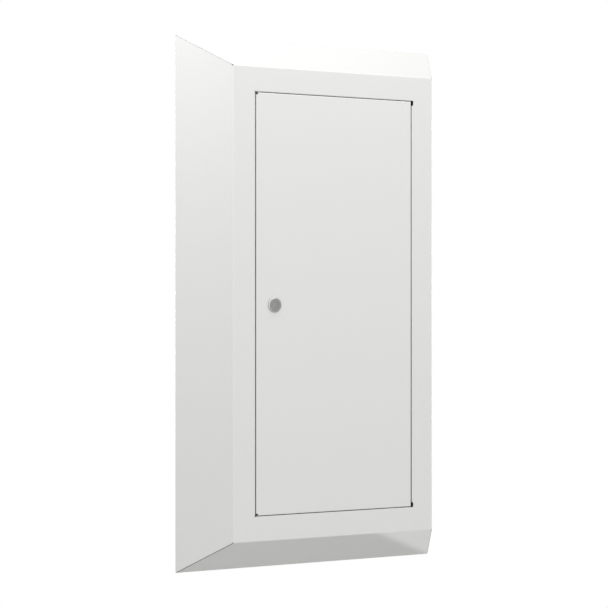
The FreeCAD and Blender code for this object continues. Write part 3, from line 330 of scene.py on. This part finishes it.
def lock_chrome(name, tone, shaded_tone, rim_tone):
    """Chrome: a satin face with fine turning rings round the lock's axis, and a brighter rim beyond it."""
    finish, metal = new_finish(name)
    smear = metal.clouds(120, 3)
    grit = metal.clouds(3000, 2)
    place = metal.node("TexCoord", {}, {}, out="Object")
    spoke = metal.node("Mapping", {}, {"Vector": place, "Location": (-lock_x, 0, -lock_z), "Scale": (1, 0, 1)})
    radius = metal.node("VectorMath", {"operation": "LENGTH"}, {0: spoke}, out="Value")
    rings = metal.maths("SINE", radius * ring_rate, 0)
    rim = radius.ramp(rim_edge, rim_edge + rim_blend)
    skin = metal.node("Bump", {}, {
        "Strength": 0.3,
        "Distance": 0.00001,
        "Height": grit + (1 - rim) * rings * 0.5,
    })
    face_tone = smear.blend(shaded_tone, tone)
    shader = metal.node("BsdfPrincipled", {}, {
        "Base Color": metal.node("Mix", {"data_type": "RGBA"}, {0: rim, 6: face_tone, 7: (*rim_tone, 1)}, out=2),
        "Metallic": 1.0,
        "Roughness": smear * 0.12 + grit * 0.06 + 0.30 + rim * 0.12,
        "Normal": skin,
    })
    metal.node("OutputMaterial", {}, {"Surface": shader})
    return finish


rim_chrome = (0.62, 0.62, 0.61)
wear(nodes["lock_housing"], lock_chrome("housing_chrome", (0.33, 0.33, 0.325), (0.285, 0.285, 0.28), rim_chrome))
wear(nodes["lock_plug"], lock_chrome("plug_chrome", (0.34, 0.34, 0.335), (0.295, 0.295, 0.29), rim_chrome))
wear(nodes["lock_gasket"], rubber("gasket_rubber", (0.03, 0.03, 0.03), (0.06, 0.06, 0.058)))
lock_zinc = zinc_plate("lock_zinc", (0.66, 0.67, 0.68), (0.55, 0.56, 0.57), 0.25)
for piece in ("lock_nut", "lock_cam", "cam_washer", "cam_screw"):
    wear(nodes[piece], lock_zinc)


# Key flap: a sprung steel flap that closes the key slot just below the plug's face, against dust. Stamped, with
# rounded edges, and chromed with the plug. It turns with the key.

slot_width = 0.0018
slot_length = 0.0090
flap_play = 0.0001
flap_sink = 0.00035
flap_thickness = 0.0006
flap_edge = 0.00015
flap = bmesh.new()
bmesh.ops.create_cube(flap, size=1)
bmesh.ops.scale(flap, vec=(slot_width - 2 * flap_play, flap_thickness, slot_length - 2 * flap_play), verts=flap.verts)
bmesh.ops.translate(flap, vec=(lock_x, plug_low[1] + flap_sink + flap_thickness / 2, lock_z), verts=flap.verts)
bmesh.ops.bevel(flap, geom=flap.edges[:], offset=flap_edge, segments=2, profile=0.5, affect="EDGES", material=-1)
flap_mesh = bpy.data.meshes.new("key_flap")
flap.to_mesh(flap_mesh)
flap.free()
key_flap = bpy.data.objects.new("key_flap", flap_mesh)
bpy.context.scene.collection.objects.link(key_flap)
wear(key_flap, lock_chrome("flap_chrome", (0.38, 0.38, 0.375), (0.32, 0.32, 0.315), rim_chrome))
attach(key_flap, "cam")


# Room: a round pale floor of painted screed below the cabinet, which hangs at chest height. It fades out into
# the white of the room.

floor_centre = (0, -1.0, -1.45)
floor_radius = 3.0
floor_fade = 1.6
disc = bmesh.new()
bmesh.ops.create_circle(disc, cap_ends=True, segments=96, radius=floor_radius)
bmesh.ops.translate(disc, vec=floor_centre, verts=disc.verts)
floor_mesh = bpy.data.meshes.new("floor")
disc.to_mesh(floor_mesh)
disc.free()
floor = bpy.data.objects.new("floor", floor_mesh)
bpy.context.scene.collection.objects.link(floor)
floor_finish, paint = new_finish("floor_paint")
ground = paint.node("TexCoord", {}, {}, out="Object")
ground = paint.node("Mapping", {}, {"Vector": ground, "Location": [-place for place in floor_centre]})
reach = paint.node("VectorMath", {"operation": "LENGTH"}, {0: ground}, out="Value")
floor_shade = paint.node("BsdfPrincipled", {}, {
    "Base Color": paint.clouds(3, 3).blend((0.74, 0.74, 0.73), (0.78, 0.78, 0.77)),
    "Roughness": 0.7,
    "Alpha": reach.ramp(floor_radius, floor_fade),
})
paint.node("OutputMaterial", {}, {"Surface": floor_shade})
wear(floor, floor_finish)


# Light: a wide soft box above the cabinet, a small one close to its upper left corner, weak ones that fill its
# right and its back, and a white room that is brightest in front and on the left.


def soft_box(name, place, aim, width, height, power, spread=180):
    """A rectangular lamp that faces a point. Its light fans out over as many degrees as its spread."""
    lamp = bpy.data.lights.new(name, "AREA")
    lamp.shape = "RECTANGLE"
    lamp.size = width
    lamp.size_y = height
    lamp.energy = power
    lamp.spread = math.radians(spread)
    box = bpy.data.objects.new(name, lamp)
    box.location = place
    box.rotation_euler = (Vector(aim) - Vector(place)).to_track_quat("-Z", "Y").to_euler()
    box.visible_camera = False
    bpy.context.scene.collection.objects.link(box)
    return box


soft_box("overhead_box", (0, -0.38, 1.6), (0, 0, 0.5), 1.6, 0.6, 10.2)
soft_box("left_box", (-1.0, -0.15, 1.0), (-0.3, -0.05, 0.45), 0.5, 0.5, 2.7)
soft_box("right_fill", (2.2, 0.25, 0.2), (0.3, -0.05, 0), 0.8, 1.2, 1.0, 25)
soft_box("back_fill", (0.2, 2.3, 0.3), (0, 0, 0), 0.8, 1.2, 3.2, 60)

# A narrow beam from below lights the right end of the underside. Its edge runs up to the rear corner.
beam_way = Vector((0.25, -0.15, 0.957)).normalized()
beam_edge = Vector((0.145, 0.086, -0.050))
beam_edge_middle = Vector((0.2168, -0.0678, -0.536))
beam_side = beam_edge.cross(beam_way).normalized()
beam_width = 0.3
beam_length = 0.5
beam_reach = 0.5
beam = soft_box("underside_beam", (0, 0, 0), (0, 0, 1), beam_width, beam_length, 0.125, 3)
beam.location = beam_edge_middle + beam_side * beam_width / 2 - beam_way * beam_reach
beam.rotation_euler = Matrix((beam_side, beam_side.cross(beam_way), -beam_way)).transposed().to_euler()

world = bpy.data.worlds.new("white_room")
world.use_nodes = True
world.node_tree.nodes.clear()
room = Shade(world.node_tree)
sight = room.node("TexCoord", {}, {}, out="Generated")
wall_glow = {"X": (0.603, 0.30), "Y": (1.062, 0.25), "Z": (0.0, 0.07)}
glow = 0
for axis, (low_side, high_side) in wall_glow.items():
    way = room.node("SeparateXYZ", {}, {0: sight}, out=axis)
    glow = way.maths("MAXIMUM", way, 0) * high_side + way.maths("MAXIMUM", 0 - way, 0) * low_side + glow
seen = room.node("LightPath", {}, {}, out="Is Camera Ray")
white = room.node("Background", {}, {"Color": (1, 1, 1, 1), "Strength": (1 - seen) * glow + seen})
room.node("OutputWorld", {}, {"Surface": white})
bpy.context.scene.world = world
bpy.context.scene.view_settings.view_transform = "Standard"


# Camera: level with the middle of the cabinet, to its left, on a long lens.

camera_turn = -30.48
lens = bpy.data.cameras.new("camera")
lens.sensor_width = 36
lens.lens = 118.1
lens.clip_end = 50
camera = bpy.data.objects.new("camera", lens)
camera.location = (-2.237, -3.797, 0)
camera.rotation_euler = (math.radians(90), 0, math.radians(camera_turn))
bpy.context.scene.collection.objects.link(camera)
bpy.context.scene.camera = camera
